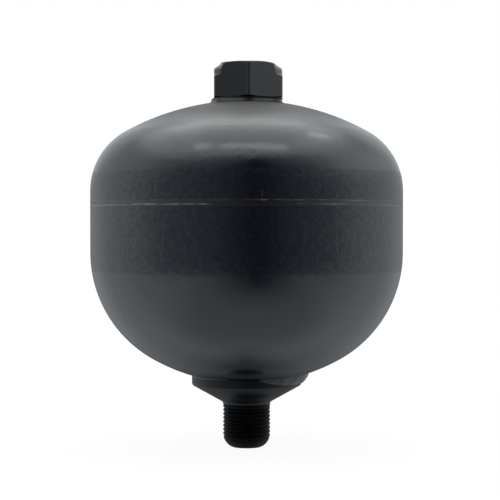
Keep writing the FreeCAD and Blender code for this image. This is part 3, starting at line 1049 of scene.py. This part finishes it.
def makeFloor():
    s = studioFloor
    material, tree, shader = newMaterial("pale_floor")
    shader.inputs["Base Color"].default_value = (*s["colour"], 1)
    shader.inputs["Roughness"].default_value = s["roughness"]
    shader.inputs["Specular IOR Level"].default_value = 0.0
    seen = addNode(tree, "ShaderNodeLightPath").outputs["Is Camera Ray"]
    glow = addNode(tree, "ShaderNodeEmission", {"Strength": 1.0})
    share = calc(tree, "MULTIPLY", seen, s["white"])
    mixed = addNode(tree, "ShaderNodeMixShader", {0: share, 1: shader.outputs[0], 2: glow.outputs[0]})
    behind = addNode(tree, "ShaderNodeNewGeometry").outputs["Backfacing"]
    clear = addNode(tree, "ShaderNodeBsdfTransparent")
    top = addNode(tree, "ShaderNodeMixShader", {0: behind, 1: mixed.outputs[0], 2: clear.outputs[0]})
    tree.links.new(top.outputs[0], tree.nodes["Material Output"].inputs["Surface"])
    mesh = bmesh.new()
    bmesh.ops.create_grid(mesh, x_segments=1, y_segments=1, size=s["halfSize"])
    bmesh.ops.translate(mesh, verts=mesh.verts, vec=(0, 0, cadLow.z - s["gap"]))
    data = bpy.data.meshes.new("floor")
    mesh.to_mesh(data)
    mesh.free()
    data.materials.append(material)
    floor = bpy.data.objects.new("floor", data)
    bpy.context.scene.collection.objects.link(floor)
    floor.visible_glossy = False  # gloss shows the pale surroundings below instead


# Surroundings: a tent with bright side walls, a dark gap in front, a pale table below and an open top.
# Each Over is a range of the direction's x, y or z in which one part of the tent passes into the next.
tent = {
    "wallLevel": 1.30,
    "wallTint": (0.94, 1.0, 1.035),
    "gapLevel": 0.02,
    "gapShift": 0.13,
    "leastReach": 0.05,
    "rightBoost": 0.4,
    "rightOver": (0.45, 0.85),
    "rightHighOver": (0.1, 0.4),
    "frontDip": 0.45,
    "dipZ": 0.18,
    "dipOver": (0.36, 0.56),
    "dipFrontOver": (-0.6, 0.0),
    "farShare": 0.88,
    "farOver": (0.15, 0.60),
    "backLevel": 0.58,
    "backRise": 0.8,
    "backOver": (0.3, 0.7),
    "backLowShare": 0.3,
    "backLowOver": (-0.15, 0.1),
    "tableLevel": 0.92,
    "tableLean": -0.28,
    "tableOver": (0.62, 1.02),
    "tableFarShare": 0.6,
    "tableFarOver": (-0.05, 0.38),
    "topLevel": 2.4,
    "topTint": (1.0, 1.02, 1.01),
    "topFrontLean": 0.22,
    "topRightLean": -0.08,
    "topOver": (0.55, 0.80),
}


def makeSky():
    t = tent
    world = bpy.data.worlds.new("studio")
    bpy.context.scene.world = world
    world.use_nodes = True
    tree = world.node_tree
    background = tree.nodes["Background"]
    axes = splitAxes(tree, addNode(tree, "ShaderNodeTexCoord").outputs["Generated"])
    x, y, z = axes["X"], axes["Y"], axes["Z"]
    forward = calc(tree, "MINIMUM", y, 0.0)

    # the side walls, dark at the gap in front
    aside = calc(tree, "ABSOLUTE", calc(tree, "MULTIPLY_ADD", forward, t["gapShift"], x))
    reach = lengthOf(tree, addNode(tree, "ShaderNodeCombineXYZ", {0: x, 1: y}).outputs[0])
    sideways = calc(tree, "DIVIDE", aside, calc(tree, "MAXIMUM", reach, t["leastReach"]), clamp=True)
    wall = calc(tree, "MULTIPLY_ADD", sideways, t["wallLevel"], t["gapLevel"])
    lit = calc(tree, "MULTIPLY", stepUp(tree, x, *t["rightOver"]), stepUp(tree, z, *t["rightHighOver"]))
    wall = calc(tree, "MULTIPLY_ADD", lit, t["rightBoost"], wall)
    fromDip = calc(tree, "ABSOLUTE", calc(tree, "SUBTRACT", z, t["dipZ"]))
    dip = stepUp(tree, y, *t["dipFrontOver"], t["frontDip"], 0.0)
    dip = calc(tree, "MULTIPLY", stepUp(tree, fromDip, *t["dipOver"], 1.0, 0.0), dip)
    wall = calc(tree, "MULTIPLY", wall, calc(tree, "SUBTRACT", 1.0, dip))
    wall = calc(tree, "MULTIPLY", wall, stepUp(tree, y, *t["farOver"], 1.0, t["farShare"]))

    # the back wall, brighter towards the top
    behind = calc(tree, "MULTIPLY_ADD", calc(tree, "MAXIMUM", z, 0.0), t["backRise"], t["backLevel"])
    behind = calc(tree, "MULTIPLY", behind, stepUp(tree, y, *t["backOver"]))
    behind = calc(tree, "MULTIPLY", behind, stepUp(tree, z, *t["backLowOver"], t["backLowShare"], 1.0))
    wall = calc(tree, "MAXIMUM", wall, behind)

    # the table below and the open top
    down = calc(tree, "MULTIPLY_ADD", y, t["tableLean"], calc(tree, "MULTIPLY", z, -1.0))
    table = stepUp(tree, down, *t["tableOver"])
    table = calc(tree, "MULTIPLY", table, stepUp(tree, y, *t["tableFarOver"], 1.0, t["tableFarShare"]))
    lean = calc(tree, "MULTIPLY_ADD", calc(tree, "MAXIMUM", x, 0.0), t["topRightLean"], z)
    top = stepUp(tree, calc(tree, "MULTIPLY_ADD", forward, t["topFrontLean"], lean), *t["topOver"])
    strength = mixValue(tree, top, mixValue(tree, table, wall, t["tableLevel"]), t["topLevel"])

    # the camera itself sees plain white
    seen = addNode(tree, "ShaderNodeLightPath").outputs["Is Camera Ray"]
    tint = blend(tree, seen, blend(tree, top, t["wallTint"], t["topTint"]), (1, 1, 1))
    tree.links.new(tint, background.inputs["Color"])
    tree.links.new(mixValue(tree, seen, strength, 1.0), background.inputs["Strength"])


# Strip lights round the open top of the tent, as the upper dome mirrors them
strips = {
    "front": {"ends": ((-0.26, -0.32, 1.0), (0.42, -0.32, 1.0)), "width": 0.20, "radiance": 1.4},
    "left_near": {"ends": ((-0.46, -0.36, 1.0), (-0.42, -0.12, 1.0)), "width": 0.18, "radiance": 1.5},
    "left_far": {"ends": ((-0.46, -0.05, 1.0), (-0.33, 0.96, 1.0)), "width": 0.20, "radiance": 0.2},
    "right_near": {"ends": ((0.55, -0.10, 1.0), (0.49, 0.62, 1.0)), "width": 0.20, "radiance": 0.3},
    "right_far": {"ends": ((0.54, 0.34, 1.0), (0.50, 0.54, 1.0)), "width": 0.18, "radiance": 1.0},
    "back": {"ends": ((-0.30, 1.03, 1.0), (0.30, 1.03, 1.0)), "width": 0.14, "radiance": 0.3},
}
stripCentre = Vector((0, -0.045, 0.10))


def makeStrip(name, ends, width, radiance):
    start, end = (stripCentre + Vector(point) for point in ends)
    middle = (start + end) / 2
    along = (end - start).normalized()
    back = (middle - stripCentre).normalized()
    back = (back - along * back.dot(along)).normalized()
    data = bpy.data.lights.new(name + "_strip", "AREA")
    data.shape = "RECTANGLE"
    data.size = (end - start).length
    data.size_y = width
    data.energy = radiance * 4 * data.size * data.size_y
    light = bpy.data.objects.new(name + "_strip", data)
    bpy.context.scene.collection.objects.link(light)
    turned = Matrix((along, back.cross(along), back)).transposed().to_4x4()
    light.matrix_world = Matrix.Translation(middle) @ turned
    light.visible_camera = False


# Camera: level with the vessel's middle, a little right of its axis
eye = {
    "x": 1.3 * mm,
    "distance": 612 * mm,
    "z": 69.3 * mm,
    "tilt": math.radians(0.93),
    "lens": 114.8,
    "sensorWidth": 36,
    "clip": (0.01, 50),
}


def makeCamera():
    data = bpy.data.cameras.new("camera")
    data.lens = eye["lens"]
    data.sensor_width = eye["sensorWidth"]
    data.clip_start, data.clip_end = eye["clip"]
    camera = bpy.data.objects.new("camera", data)
    bpy.context.scene.collection.objects.link(camera)
    camera.location = (eye["x"], -eye["distance"], eye["z"])
    camera.rotation_euler = (math.pi / 2 - eye["tilt"], 0, 0)
    bpy.context.scene.camera = camera


makeFloor()
makeSky()
for name, facts in strips.items():
    makeStrip(name, **facts)
makeCamera()
bpy.context.scene.view_settings.view_transform = "Standard"
print("studio ready")
